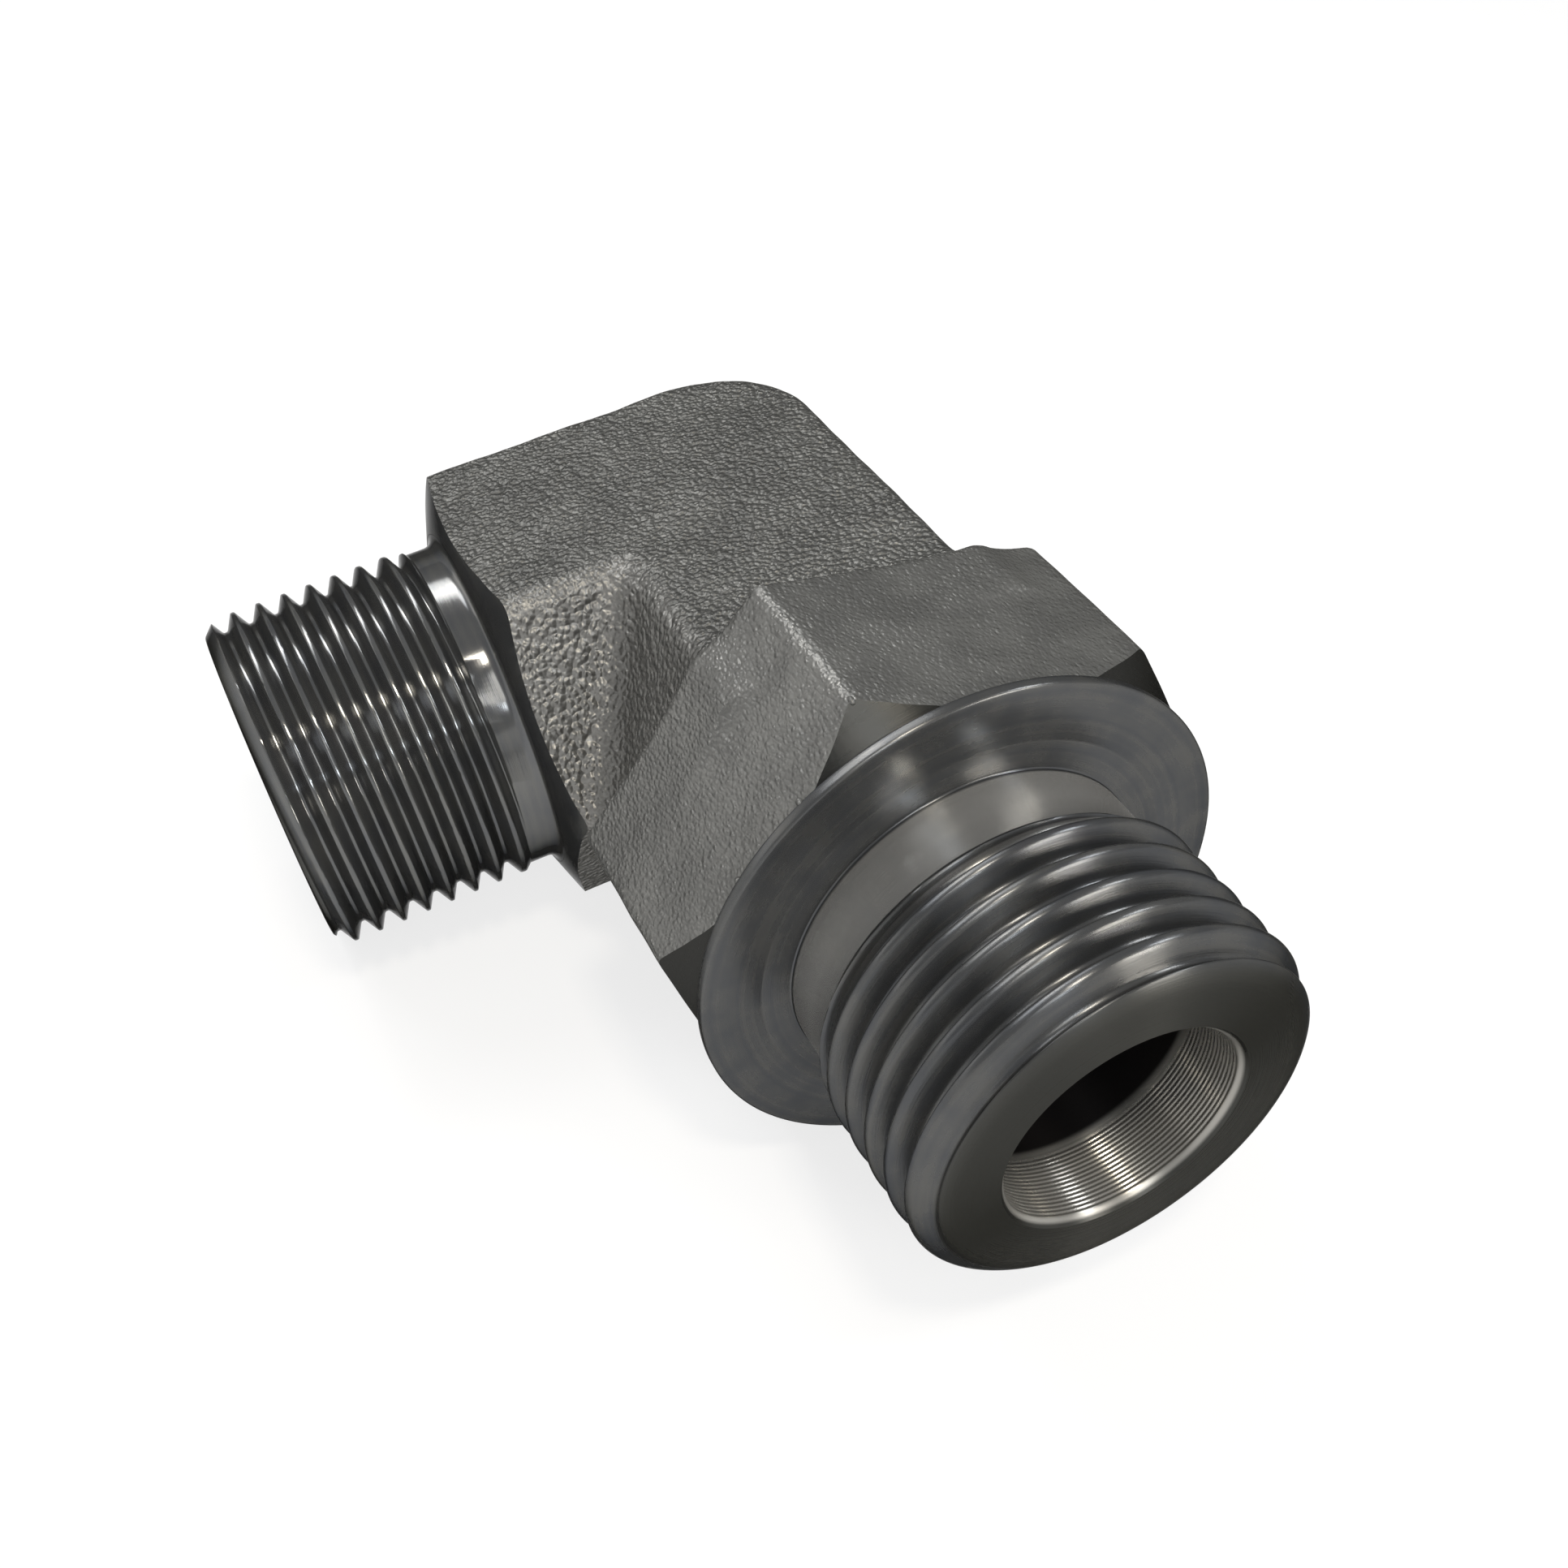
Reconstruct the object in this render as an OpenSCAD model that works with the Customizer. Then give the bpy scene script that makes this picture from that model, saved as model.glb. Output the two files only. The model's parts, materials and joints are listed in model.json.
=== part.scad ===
// Forged hydraulic elbow adapter, 90 degrees, all sizes in millimetres.
// One port is a metric tube end with a 24 degree cone, the other a parallel
// pipe-thread stud with a hexagon and a collar that seats on a bonded washer.
// The port axes are drawn so that they cross at a working centre: the tube
// end points along -X, the stud along -Y, and the parting line of the forging
// lies in the plane of both axes. The last step turns the piece on to a corner
// of its hexagon and the rim of its tube end, which is how it lies on a table,
// and puts the origin at the centre of the collar's sealing face.

/* [Forged body] */
// Height of the body across its flat top and bottom
body_flats = 22.3; // [21:0.1:25]
// Width of the flat face on each arm, before its edges are rounded
body_top_w = 13.8; // [11:0.1:15]
// Width of each arm at the parting line, before its edges are rounded
body_points = 25.9; // [24:0.1:28]
// Radius along the edges of the flat faces
edge_r = 1.4; // [0.5:0.1:2]
// Radius along the parting line
parting_r = 0.8; // [0.3:0.1:2]
// Radius of the flat face round the outside of the bend
corner_r = 6; // [3:0.1:6.5]
// Radius of the fillet in the throat, where the arms meet
throat_r = 1.8; // [1:0.1:3]

/* [Tube end] */
// Distance from the stud's axis to the end face of the tube end
tube_reach = 28.8; // [28.5:0.1:36]
// Major diameter of the tube end's thread
tube_thread_d = 20; // [18.5:0.1:20.4]
// Pitch of the tube end's thread
tube_pitch = 1.5; // [1:0.05:1.75]
// Threaded length, from the end face to the relief
tube_thread_len = 13.2; // [10:0.1:13.2]
// Diameter of the plain relief behind the thread
tube_relief_d = 19.3; // [17.5:0.1:20]
// Outer diameter of the flat end face
tube_face_d = 18.4; // [16.5:0.1:18.4]
// Angle of the lead on the tube end, from its axis
tube_lead_angle = 45; // [40:1:60]
// Distance from the stud's axis to the turned shoulder of the body
shoulder_reach = 14.85; // [14.5:0.05:15]
// Diameter at which the turned shoulder starts
shoulder_d = 20.6; // [20.5:0.1:21.5]
// Angle of the turned shoulder, from a plane across its axis
shoulder_angle = 20; // [12:1:30]
// Radius of the fillet from the relief to the shoulder
shoulder_fillet = 0.6; // [0.2:0.05:0.9]

/* [Stud end] */
// Distance from the tube end's axis to the sealing face of the collar
collar_reach = 29.5; // [28:0.1:36]
// Diameter of the collar
collar_d = 28.5; // [27.5:0.1:29.5]
// Thickness of the collar
collar_t = 1.5; // [1:0.1:2]
// Chamfer on the rim of the sealing face
collar_chamfer = 0.2; // [0.1:0.05:0.4]
// Length of the stud beyond the sealing face
stud_len = 14; // [12:0.1:22]
// Major diameter of the stud's thread
stud_thread_d = 20.955; // [20:0.005:21.5]
// Pitch of the stud's thread
stud_pitch = 1.814; // [1.337:0.001:1.9]
// Length of the plain neck between the sealing face and the thread
neck_len = 3.6; // [2:0.1:4]
// Diameter of the plain neck
neck_d = 19.1; // [18:0.1:19.8]
// Radius of the fillet between the neck and the sealing face
neck_fillet = 0.5; // [0.2:0.1:1]
// Outer diameter of the flat end face
stud_face_d = 18.2; // [17:0.1:18.4]
// Angle of the lead on the stud's end, from its axis
stud_lead_angle = 45; // [30:1:60]

/* [Hexagon] */
// Size of the hexagon across its flats
hex_flats = 27; // [26:0.1:30]
// Distance from the tube end's axis to the back of the hexagon
hex_back = 17.5; // [15:0.1:19]
// Turn of the hexagon about the stud's axis
hex_turn = 15; // [5:1:25]
// Length of the chamfer on the hexagon's front corners
hex_chamfer = 0.9; // [0.4:0.05:1.2]
// Angle of that chamfer, from a plane across its axis
hex_chamfer_angle = 30; // [20:1:35]

/* [Bores] */
// Diameter of the bore through the stud
stud_bore_d = 12; // [9:0.1:13]
// Chamfer on the mouth of the stud's bore
stud_bore_chamfer = 0.33; // [0.1:0.01:0.6]
// Distance that the stud's bore runs past the tube end's axis
stud_bore_run = 4.2; // [3:0.1:5]
// Point angle of the drill that made the bore
drill_angle = 118; // [90:1:140]
// Mouth diameter of the tube end's sealing cone
cone_mouth_d = 14.3; // [13.5:0.1:15]
// Included angle of the sealing cone
cone_angle = 24; // [20:1:30]
// Diameter of the socket that guides the tube
socket_d = 12.1; // [11:0.1:12.5]
// Depth of the socket's floor below the end face
socket_depth = 11; // [9:0.1:12]
// Diameter of the passage from the socket to the stud's bore
passage_d = 8; // [6:0.1:9]

/* [Hidden] */
$fn = 96;
steel = [0.30, 0.30, 0.31];

// Straight steps in each rounded corner of an outline
arc_steps = 5;
// Overlap of pieces that are joined, and overshoot of cuts
lap = 1;
// Depth by which the throat's fillet runs in under the sides that it joins
bite = 0.05;
// Width of the flat that the drill's chisel edge leaves
chisel_w = 0.8;
// Half the side of a block that encloses the whole piece
beyond = 60;

// Thread forms: depth for one unit of pitch, flank angle and crest width
metric_depth = 0.6134;
metric_flank = 30;
metric_crest = 0.125;
pipe_depth = 0.6403;
pipe_flank = 27.5;
pipe_crest = 1 / 6;
// Distance of the first crest from the end face, in pitches
first_crest = 1 / 3;

// Half height and half widths of the arms, and the slope of their sides
half_h = body_flats / 2;
half_top = body_top_w / 2;
half_points = body_points / 2;
side_run = half_points - half_top;
// Centre of the bend's outside, on the diagonal between the arms
bend_c = half_top - corner_r;
// Angle that the throat's valley leans back from upright
throat_lean = atan2(side_run * sqrt(2), half_h);
// Half of the open angle between the two sides that meet in the throat
throat_half = 90 - acos(side_run ^ 2 / (side_run ^ 2 + half_h ^ 2)) / 2;

hex_corner_r = hex_flats / 2 / cos(30);
hex_front = collar_reach - collar_t;
stud_reach = collar_reach + stud_len;
tube_chamfer = (tube_thread_d - tube_face_d) / 2 / tan(tube_lead_angle);

// The lowest corner of the hexagon and the rim of the tube end carry the
// piece: each is a distance along and below the plane of the port axes
hex_foot = [hex_corner_r * sin(hex_turn), hex_corner_r * cos(hex_turn)];
tube_foot = [tube_reach - tube_chamfer, tube_thread_d / 2];
rest_pitch = atan2(hex_foot.y - tube_foot.y, tube_foot.x + hex_foot.x);

function unit(v) = v / norm(v);

// Points of an arc of radius r that rounds the corner b between a and c
function corner_arc(a, b, c, r) =
    let (
        u = unit(a - b),
        v = unit(c - b),
        half = acos(u * v) / 2,
        centre = b + unit(u + v) * r / sin(half),
        from = b + u * r / tan(half) - centre,
        to = b + v * r / tan(half) - centre,
        start = atan2(from.y, from.x),
        turn = (atan2(to.y, to.x) - start + 540) % 360 - 180
    )
    [for (i = [0:arc_steps])
        let (t = start + turn * i / arc_steps)
        centre + r * [cos(t), sin(t)]];

// Right half of an arm's section, from the bottom flat round to the top flat
function arm_side() =
    let (
        bottom = [half_top, -half_h],
        point = [half_points, 0],
        top = [half_top, half_h]
    )
    concat(
        corner_arc([0, -half_h], bottom, point, edge_r),
        corner_arc(bottom, point, top, parting_r),
        corner_arc(point, top, [0, half_h], edge_r)
    );

// Places its children along the stud's or the tube end's axis
module along_stud() {
    rotate([90, 0, 0]) children();
}

module along_tube() {
    rotate([0, -90, 0]) children();
}

// A forged arm along -Y, from the bend to a distance from the other axis
module arm(reach) {
    side = arm_side();
    left = [for (i = [len(side) - 1:-1:0]) [-side[i].x, side[i].y]];
    along_stud()
        translate([0, 0, -bend_c])
            linear_extrude(reach + bend_c)
                polygon(concat(side, left));
}

// The outside of the bend: the arm's section turned through a quarter circle
module bend() {
    side = [for (p = arm_side()) [p.x - bend_c, p.y]];
    translate([bend_c, bend_c, 0])
        rotate_extrude(angle = 90)
            polygon(concat([[0, -half_h]], side, [[0, half_h]]));
}

// Fillet in the upper half of the throat, run along the leaning valley
module throat_web() {
    side = 2 * throat_r * [sin(throat_half), cos(throat_half)];
    low = [0, -bite];
    valley = corner_arc(low + [-side.x, side.y], low, low + side, throat_r);
    intersection() {
        rotate([0, 0, 225])
            translate([half_points * sqrt(2), 0, 0])
                rotate([0, -throat_lean, 0])
                    rotate([0, 0, -90])
                        translate([0, 0, -half_h])
                            linear_extrude(3 * half_h)
                                polygon(concat(valley, [[0, -lap]]));
        translate([-beyond, -beyond, 0])
            cube([beyond, beyond, half_h - edge_r / 4]);
    }
}

// Turned cone that faces off the arm behind the tube end's thread
module shoulder_envelope() {
    rise = (beyond - shoulder_d / 2) * tan(shoulder_angle);
    along_tube()
        rotate_extrude()
            polygon([
                [0, -beyond],
                [beyond, -beyond],
                [beyond, shoulder_reach - rise],
                [shoulder_d / 2, shoulder_reach],
                [0, shoulder_reach]
            ]);
}

module forging() {
    arm(hex_back + lap);
    bend();
    intersection() {
        union() {
            mirror([1, -1, 0]) arm(shoulder_reach + lap);
            throat_web();
            mirror([0, 0, 1]) throat_web();
        }
        shoulder_envelope();
    }
}

// Half section of a threaded rod from its inner end to its outer end, as
// radius against distance from the working centre
module thread_outline(major, pitch, depth, flank, crest, inner, outer) {
    root = major / 2 - depth * pitch;
    tip = crest * pitch / 2;
    base = tip + depth * pitch * tan(flank);
    last = inner + base;
    crests = [for (c = outer - first_crest * pitch; c >= last; c = c - pitch) c];
    ridges = [for (c = crests) each [
        [root, c + base],
        [major / 2, c + tip],
        [major / 2, c - tip],
        [root, c - base]
    ]];
    polygon(concat([[0, outer + pitch], [root, outer + pitch]], ridges,
        [[root, inner - lap], [0, inner - lap]]));
}

// Half section of what the turning of a rod's end leaves: a face and a lead
module end_outline(major, face_d, lead_angle, inner, outer) {
    clear_r = major / 2 + lap;
    back = (clear_r - face_d / 2) / tan(lead_angle);
    polygon([
        [0, inner - lap],
        [clear_r, inner - lap],
        [clear_r, outer - back],
        [face_d / 2, outer],
        [0, outer]
    ]);
}

// Half section of a plain cylinder with a fillet at its inner end
module fillet_outline(d, fillet, inner, outer) {
    foot = corner_arc([d / 2, outer], [d / 2, inner], [d / 2 + lap, inner], fillet);
    polygon(concat([[0, outer], [d / 2, outer]], foot,
        [[d / 2 + fillet, inner - lap], [0, inner - lap]]));
}

module tube_end() {
    relief_end = tube_reach - tube_thread_len;
    fillet = min(shoulder_fillet, (shoulder_d - tube_relief_d) / 2);
    along_tube() {
        intersection() {
            rotate_extrude()
                thread_outline(tube_thread_d, tube_pitch, metric_depth,
                    metric_flank, metric_crest, relief_end, tube_reach);
            rotate_extrude()
                end_outline(tube_thread_d, tube_face_d, tube_lead_angle,
                    relief_end - lap, tube_reach);
        }
        rotate_extrude()
            fillet_outline(tube_relief_d, fillet, shoulder_reach, relief_end);
    }
}

module stud_end() {
    neck_end = collar_reach + neck_len;
    along_stud() {
        intersection() {
            rotate_extrude()
                thread_outline(stud_thread_d, stud_pitch, pipe_depth,
                    pipe_flank, pipe_crest, neck_end, stud_reach);
            rotate_extrude()
                end_outline(stud_thread_d, stud_face_d, stud_lead_angle,
                    neck_end - lap, stud_reach);
        }
        rotate_extrude()
            fillet_outline(neck_d, neck_fillet, collar_reach, neck_end);
    }
}

module hexagon() {
    rim_r = hex_corner_r + lap;
    rim_end = hex_front - hex_chamfer - lap * tan(hex_chamfer_angle);
    along_stud()
        intersection() {
            rotate([0, 0, -hex_turn])
                translate([0, 0, hex_back])
                    cylinder(h = hex_front - hex_back, r = hex_corner_r, $fn = 6);
            rotate_extrude()
                polygon([
                    [0, hex_back - lap],
                    [rim_r, hex_back - lap],
                    [rim_r, rim_end],
                    [hex_corner_r - hex_chamfer / tan(hex_chamfer_angle), hex_front],
                    [0, hex_front]
                ]);
        }
}

module collar() {
    along_stud()
        rotate_extrude()
            polygon([
                [0, hex_front - lap],
                [hex_flats / 2 - lap, hex_front - lap],
                [hex_flats / 2 - lap, hex_front],
                [collar_d / 2, hex_front],
                [collar_d / 2, collar_reach - collar_chamfer],
                [collar_d / 2 - collar_chamfer, collar_reach],
                [0, collar_reach]
            ]);
}

// Bore of the stud, chamfered at its mouth and pointed at its floor
module stud_bore() {
    r = stud_bore_d / 2;
    mouth = r + stud_bore_chamfer;
    floor = -stud_bore_run - (r - chisel_w / 2) / tan(drill_angle / 2);
    along_stud()
        rotate_extrude()
            polygon([
                [0, floor],
                [chisel_w / 2, floor],
                [r, -stud_bore_run],
                [r, stud_reach - stud_bore_chamfer],
                [mouth, stud_reach],
                [mouth, stud_reach + lap],
                [0, stud_reach + lap]
            ]);
}

// Sealing cone, tube socket and passage of the tube end
module tube_bore() {
    floor = tube_reach - socket_depth;
    cone_len = (cone_mouth_d - socket_d) / 2 / tan(cone_angle / 2);
    along_tube()
        rotate_extrude()
            polygon([
                [0, 0],
                [passage_d / 2, 0],
                [passage_d / 2, floor],
                [socket_d / 2, floor],
                [socket_d / 2, tube_reach - cone_len],
                [cone_mouth_d / 2, tube_reach],
                [cone_mouth_d / 2, tube_reach + lap],
                [0, tube_reach + lap]
            ]);
}

module elbow_body() {
    color(steel)
        rotate([0, -rest_pitch, 0])
            translate([0, collar_reach, 0])
                difference() {
                    union() {
                        forging();
                        hexagon();
                        collar();
                        tube_end();
                        stud_end();
                    }
                    stud_bore();
                    tube_bore();
                }
}

elbow_body();
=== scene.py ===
# %% [markdown]
# # A forged hydraulic elbow adapter
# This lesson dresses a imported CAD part: a steel elbow that joins a pipe port to
# a hydraulic tube. It is forged hot and then turned on a lathe at both ends.
# The CAD model fixes every size and place. Here the part gets what a solid
# modeller leaves out: the soft skin of a forging, real helical threads and the
# marks that turning tools leave.

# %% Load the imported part
import json
import math

import bmesh
import bpy
import numpy as np
from mathutils import Matrix, Vector


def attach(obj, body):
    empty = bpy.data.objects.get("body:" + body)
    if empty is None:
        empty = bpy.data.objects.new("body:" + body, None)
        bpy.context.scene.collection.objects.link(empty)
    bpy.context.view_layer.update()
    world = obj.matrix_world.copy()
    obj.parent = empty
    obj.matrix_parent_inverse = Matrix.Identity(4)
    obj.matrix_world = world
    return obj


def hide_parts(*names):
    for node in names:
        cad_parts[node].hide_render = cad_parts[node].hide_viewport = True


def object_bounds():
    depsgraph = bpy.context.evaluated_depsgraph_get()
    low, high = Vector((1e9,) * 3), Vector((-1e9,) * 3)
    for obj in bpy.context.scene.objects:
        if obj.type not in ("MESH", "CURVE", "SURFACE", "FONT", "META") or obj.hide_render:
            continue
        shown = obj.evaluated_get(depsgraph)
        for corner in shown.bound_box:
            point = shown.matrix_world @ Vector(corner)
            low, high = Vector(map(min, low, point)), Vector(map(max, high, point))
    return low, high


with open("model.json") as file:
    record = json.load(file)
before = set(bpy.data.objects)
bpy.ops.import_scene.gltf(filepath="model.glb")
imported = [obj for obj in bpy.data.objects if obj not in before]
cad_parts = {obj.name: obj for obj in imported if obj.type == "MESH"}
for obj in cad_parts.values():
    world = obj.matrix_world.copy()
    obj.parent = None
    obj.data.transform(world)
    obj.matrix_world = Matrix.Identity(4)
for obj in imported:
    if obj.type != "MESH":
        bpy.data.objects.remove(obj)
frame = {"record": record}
cad_box = [list(corner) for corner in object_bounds()]
mounts = {mount["name"]: mount for mount in frame["record"]["mounts"]}
print("mounts:", ", ".join(mounts))

# %% [markdown]
# ## Sizes
# Lengths are in millimetres. What the record states, such as thread radii and
# bores, is read from its mounts, and the other sizes describe the same forging
# and turning as the CAD model does. The working frame has the crossing of the
# two port axes at its origin, the tube end along -X and the stud along -Y. A
# reach is a distance from that crossing along one of the two axes.

# %% Driving sizes
MM = 0.001
stud_r = mounts["stud_thread"]["dims"]["r_mm"]
tube_r = mounts["tube_thread"]["dims"]["r_mm"]
bore_r = mounts["stud_bore"]["dims"]["r_mm"]
socket_r = mounts["tube_socket"]["dims"]["r_mm"]
tube_axis = Vector(mounts["tube_thread"]["axis"])
collar_reach = mounts["tube_thread"]["pos_m"][1] / MM

half_h = 11.15  # half the block's height
half_top = 6.9  # half the top flat's width, on the throat's side
half_top_out = 7.5  # the same, on the outer side
half_points = 12.95  # half the width at the parting line
corner_r = 6.0  # the outer corner, seen from above
corner_inset = 0.45
bend_c = half_top_out - corner_r - corner_inset  # that corner's centre
hex_flats = 26.99  # a hair under 27, so that ripples stay inside it
hex_turn = math.radians(15)
hex_back = 17.5
rim_t = 0.65  # thickness of the collar's rim
collar_r = 14.24
hex_front = collar_reach - rim_t
lap = 0.3  # how far the hexagon runs into the collar
stud_len = 14.0
tube_reach = 28.8
shoulder_reach = 14.85
print("tube thread radius", tube_r, "stud thread radius", stud_r)

# %% [markdown]
# ## From the working frame to the row frame
# The record gives the direction of the tube end, so the turn that lays the
# piece on its table follows from it.

# %% Placement
dip = math.atan2(-tube_axis.z, -tube_axis.x)
place = (
    Matrix.Scale(MM, 4)
    @ Matrix.Rotation(-dip, 4, "Y")
    @ Matrix.Translation((0, collar_reach, 0))
)
print("dip of the tube end: %.2f degrees" % math.degrees(dip))


def mesh_object(name, points, faces):
    """A mesh object made from points in the working frame."""
    mesh = bpy.data.meshes.new(name)
    mesh.from_pydata([tuple(p) for p in points], [], [tuple(f) for f in faces])
    mesh.transform(place)
    obj = bpy.data.objects.new(name, mesh)
    bpy.context.scene.collection.objects.link(obj)
    return obj


# %% [markdown]
# ## The forging as a distance field
# A forging has no crisp edge anywhere. A distance field is a good way to model
# that: each face is a plane, and a smooth maximum rounds the edge where two of
# them meet. The throat is a smooth minimum, which makes a fillet. A bevel
# modifier could round the edges too, but not where a sloping side runs out
# into a fillet, and there is no mesh to bevel yet.

# %% Smooth joins
edge_blend = 0.9
crisp_blend = 0.45
throat_blend = 2.3
parting_blend = 0.2
hex_edge = 0.32
hex_back_edge = 0.35
hex_fillet = 2.6
ripple_height = 0.035


def smooth_max(a, b, width):
    """The larger of two distances, rounded where they are within width."""
    bend = np.maximum(width - np.abs(a - b), 0) / width
    return np.maximum(a, b) + bend * bend * width / 4


def smooth_min(a, b, width):
    return -smooth_max(-a, -b, width)


def ripple(x, y, z):
    """Shallow waves, as scale and die wear leave them on a hot forging."""
    wave = np.sin(0.71 * x + 0.43 * y + 0.4) * np.sin(0.52 * z - 0.37 * x + 1.1)
    wave += 0.6 * np.sin(1.13 * y - 0.61 * z + 2.0) * np.sin(0.83 * x + 0.2)
    wave += 0.3 * np.sin(2.3 * x + 1.9 * z + 0.7) * np.sin(2.1 * y - 0.9 * x)
    return ripple_height * wave


print("edge blends:", edge_blend, crisp_blend, "throat fillet:", throat_blend)

# %% [markdown]
# ## The two arms and the bend
# Each arm has a flat top and bottom, and sides that slope out to the parting
# line, as they must to leave the die. How far a point lies across an arm is
# all that counts, so the larger of X and Y serves both arms at once, and a
# circle in its place rounds the outer corner.

# %% The two arms and the bend
arm_a_end = shoulder_reach + 2.2
arm_b_end = hex_back + 2.5


def flank(reach, up, top):
    """Distance to a side that slopes from the flat's edge to the parting line."""
    slope = math.hypot(half_h, half_points - top)
    side = ((reach - half_points) * half_h + up * (half_points - top)) / slope
    return smooth_max(side, reach - half_points + parting_blend, parting_blend)


def arms_distance(x, y, z):
    up = np.abs(z)
    straight = np.maximum(x, y)
    turned = bend_c + np.hypot(x - bend_c, y - bend_c)
    outer = np.where((x > bend_c) & (y > bend_c), turned, straight)
    inner = -smooth_max(x, y, throat_blend)
    out_side = smooth_max(flank(outer, up, half_top_out), up - half_h, crisp_blend)
    in_side = smooth_max(flank(inner, up, half_top), up - half_h, edge_blend)
    shape = np.maximum(out_side, in_side)
    return np.maximum(shape, np.maximum(-x - arm_a_end, -y - arm_b_end))


print("arms end at", round(arm_a_end, 2), "and", round(arm_b_end, 2))

# %% [markdown]
# ## The hexagon
# A spanner grips these six flats. They are forged in one with the elbow and
# turned 15 degrees to it, and a fillet joins the two. The fillet comes from
# the same smooth minimum as the throat's.

# %% The hexagon
def hexagon_distance(x, y, z):
    side = -y - hex_front - lap
    for k in range(6):
        turn = hex_turn + k * math.pi / 3
        face = x * math.cos(turn) + z * math.sin(turn) - hex_flats / 2
        side = smooth_max(side, face, hex_edge) if k else np.maximum(side, face)
    return smooth_max(side, y + hex_back, hex_back_edge)


def forging_distance(x, y, z):
    shape = smooth_min(arms_distance(x, y, z), hexagon_distance(x, y, z), hex_fillet)
    return shape + ripple(x, y, z)


# %% [markdown]
# ## From field to mesh
# A surface net puts one point in each cell that the surface crosses. The
# points are then relaxed and pulled back on to the field, so the mesh is even
# and exact at once. Blender's remesh modifier works in the same way, but it
# needs a mesh to start from and can't pull its points on to a formula.

# %% Surface net
def surface_net(distance, low, high, step):
    """Points and quads of the surface where the distance passes zero."""
    axes = [np.arange(a, b + step, step) for a, b in zip(low, high)]
    inside = distance(*np.meshgrid(*axes, indexing="ij")) < 0
    count = sum(
        inside[i:inside.shape[0] - 1 + i, j:inside.shape[1] - 1 + j,
               k:inside.shape[2] - 1 + k].astype(np.int8)
        for i in (0, 1) for j in (0, 1) for k in (0, 1)
    )
    mixed = (count > 0) & (count < 8)
    index = np.full(mixed.shape, -1)
    index[mixed] = np.arange(mixed.sum())
    points = (np.argwhere(mixed) + 0.5) * step + np.array(low)
    quads = []
    for axis in range(3):
        u, v = (axis + 1) % 3, (axis + 2) % 3
        start = np.take(inside, range(inside.shape[axis] - 1), axis)
        end = np.take(inside, range(1, inside.shape[axis]), axis)
        cells = np.argwhere(start != end)
        du, dv = np.eye(3, dtype=int)[u], np.eye(3, dtype=int)[v]
        ring = [cells, cells - du, cells - du - dv, cells - dv]
        quad = np.stack([index[tuple(c.T)] for c in ring], axis=1)
        flip = end[tuple(cells.T)]
        quad[flip] = quad[flip][:, ::-1]
        quads.append(quad)
    return points, np.concatenate(quads)


# %% Relaxing the net
def slope_of(distance, points, step=0.02):
    shifts = np.eye(3) * step
    return np.stack([
        (distance(*(points + s).T) - distance(*(points - s).T)) / (2 * step)
        for s in shifts
    ], axis=1)


def pull_to_surface(distance, points):
    """Moves each point down the slope by its own distance."""
    push = slope_of(distance, points)
    size = np.maximum((push ** 2).sum(1), 0.2)
    return points - push * (distance(*points.T) / size)[:, None]


def relax(points, quads):
    """Moves each point half way to the mean of its neighbours."""
    total = np.zeros_like(points)
    count = np.zeros(len(points))
    for a, b in ((0, 1), (1, 2), (2, 3), (3, 0)):
        for p, q in ((a, b), (b, a)):
            np.add.at(total, quads[:, p], points[quads[:, q]])
            np.add.at(count, quads[:, p], 1)
    return (points + total / count[:, None]) / 2


# %% The forged body
net_step = 0.27
net_low = (-arm_a_end - 1, -collar_reach - 1.5, -16.5)
net_high = (16.5, 14.5, 16.5)
points, quads = surface_net(forging_distance, net_low, net_high, net_step)
for _ in range(3):
    points = pull_to_surface(forging_distance, relax(points, quads))
for _ in range(3):
    points = pull_to_surface(forging_distance, points)
forging = mesh_object("forged_body", points, quads)
print("forged skin:", len(quads), "quads")

# %% [markdown]
# ## Lathe work
# A turned form is a lattice: rows along its profile and columns round its
# axis. Where a thread is cut, the radius also depends on the angle, and the
# groove then climbs by one pitch a turn. Both threads are right-handed. A
# screw modifier could wind a thread as well, but here the thread can fade out
# into its neck and its lead, as a die or a tool leaves it.

# %% Lathe
columns = 216
turn_angle = np.arange(columns) * 2 * math.pi / columns


def lathe(name, stations, radii, along_tube):
    """A closed turned solid. Radii has one row for each station."""
    stations = np.asarray(stations, float)
    radii = np.asarray(radii, float)
    if radii.ndim == 1:
        radii = np.repeat(radii[:, None], columns, axis=1)
    s = np.repeat(stations[:, None], columns, axis=1)
    c, d = radii * np.cos(turn_angle), radii * np.sin(turn_angle)
    grid = np.stack([-s, c, -d] if along_tube else [c, -s, d], axis=-1)
    rows = len(stations)
    index = np.arange(rows * columns).reshape(rows, columns)
    after = np.roll(index, -1, axis=1)
    quads = np.stack([index[:-1], index[1:], after[1:], after[:-1]], axis=-1)
    faces = quads.reshape(-1, 4).tolist() + [index[0].tolist(), index[-1].tolist()]
    obj = mesh_object(name, grid.reshape(-1, 3), faces)
    net = bmesh.new()
    net.from_mesh(obj.data)
    bmesh.ops.recalc_face_normals(net, faces=net.faces)
    net.to_mesh(obj.data)
    net.free()
    return obj


def arc(centre, radius, start, end, count):
    """Points of a fillet as (station, radius) pairs."""
    turns = np.radians(np.linspace(start, end, count))
    return [(centre[0] + radius * math.cos(t), centre[1] + radius * math.sin(t))
            for t in turns]


print("columns round each axis:", columns)

# %% [markdown]
# ## Cutting the forging
# The shoulder behind the tube thread and the chamfer on the hexagon are turned
# with sharp tools, so they are cut from the skin with exact solids. The cut
# faces take the tool's own material, so they come out turned and not forged.

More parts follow.
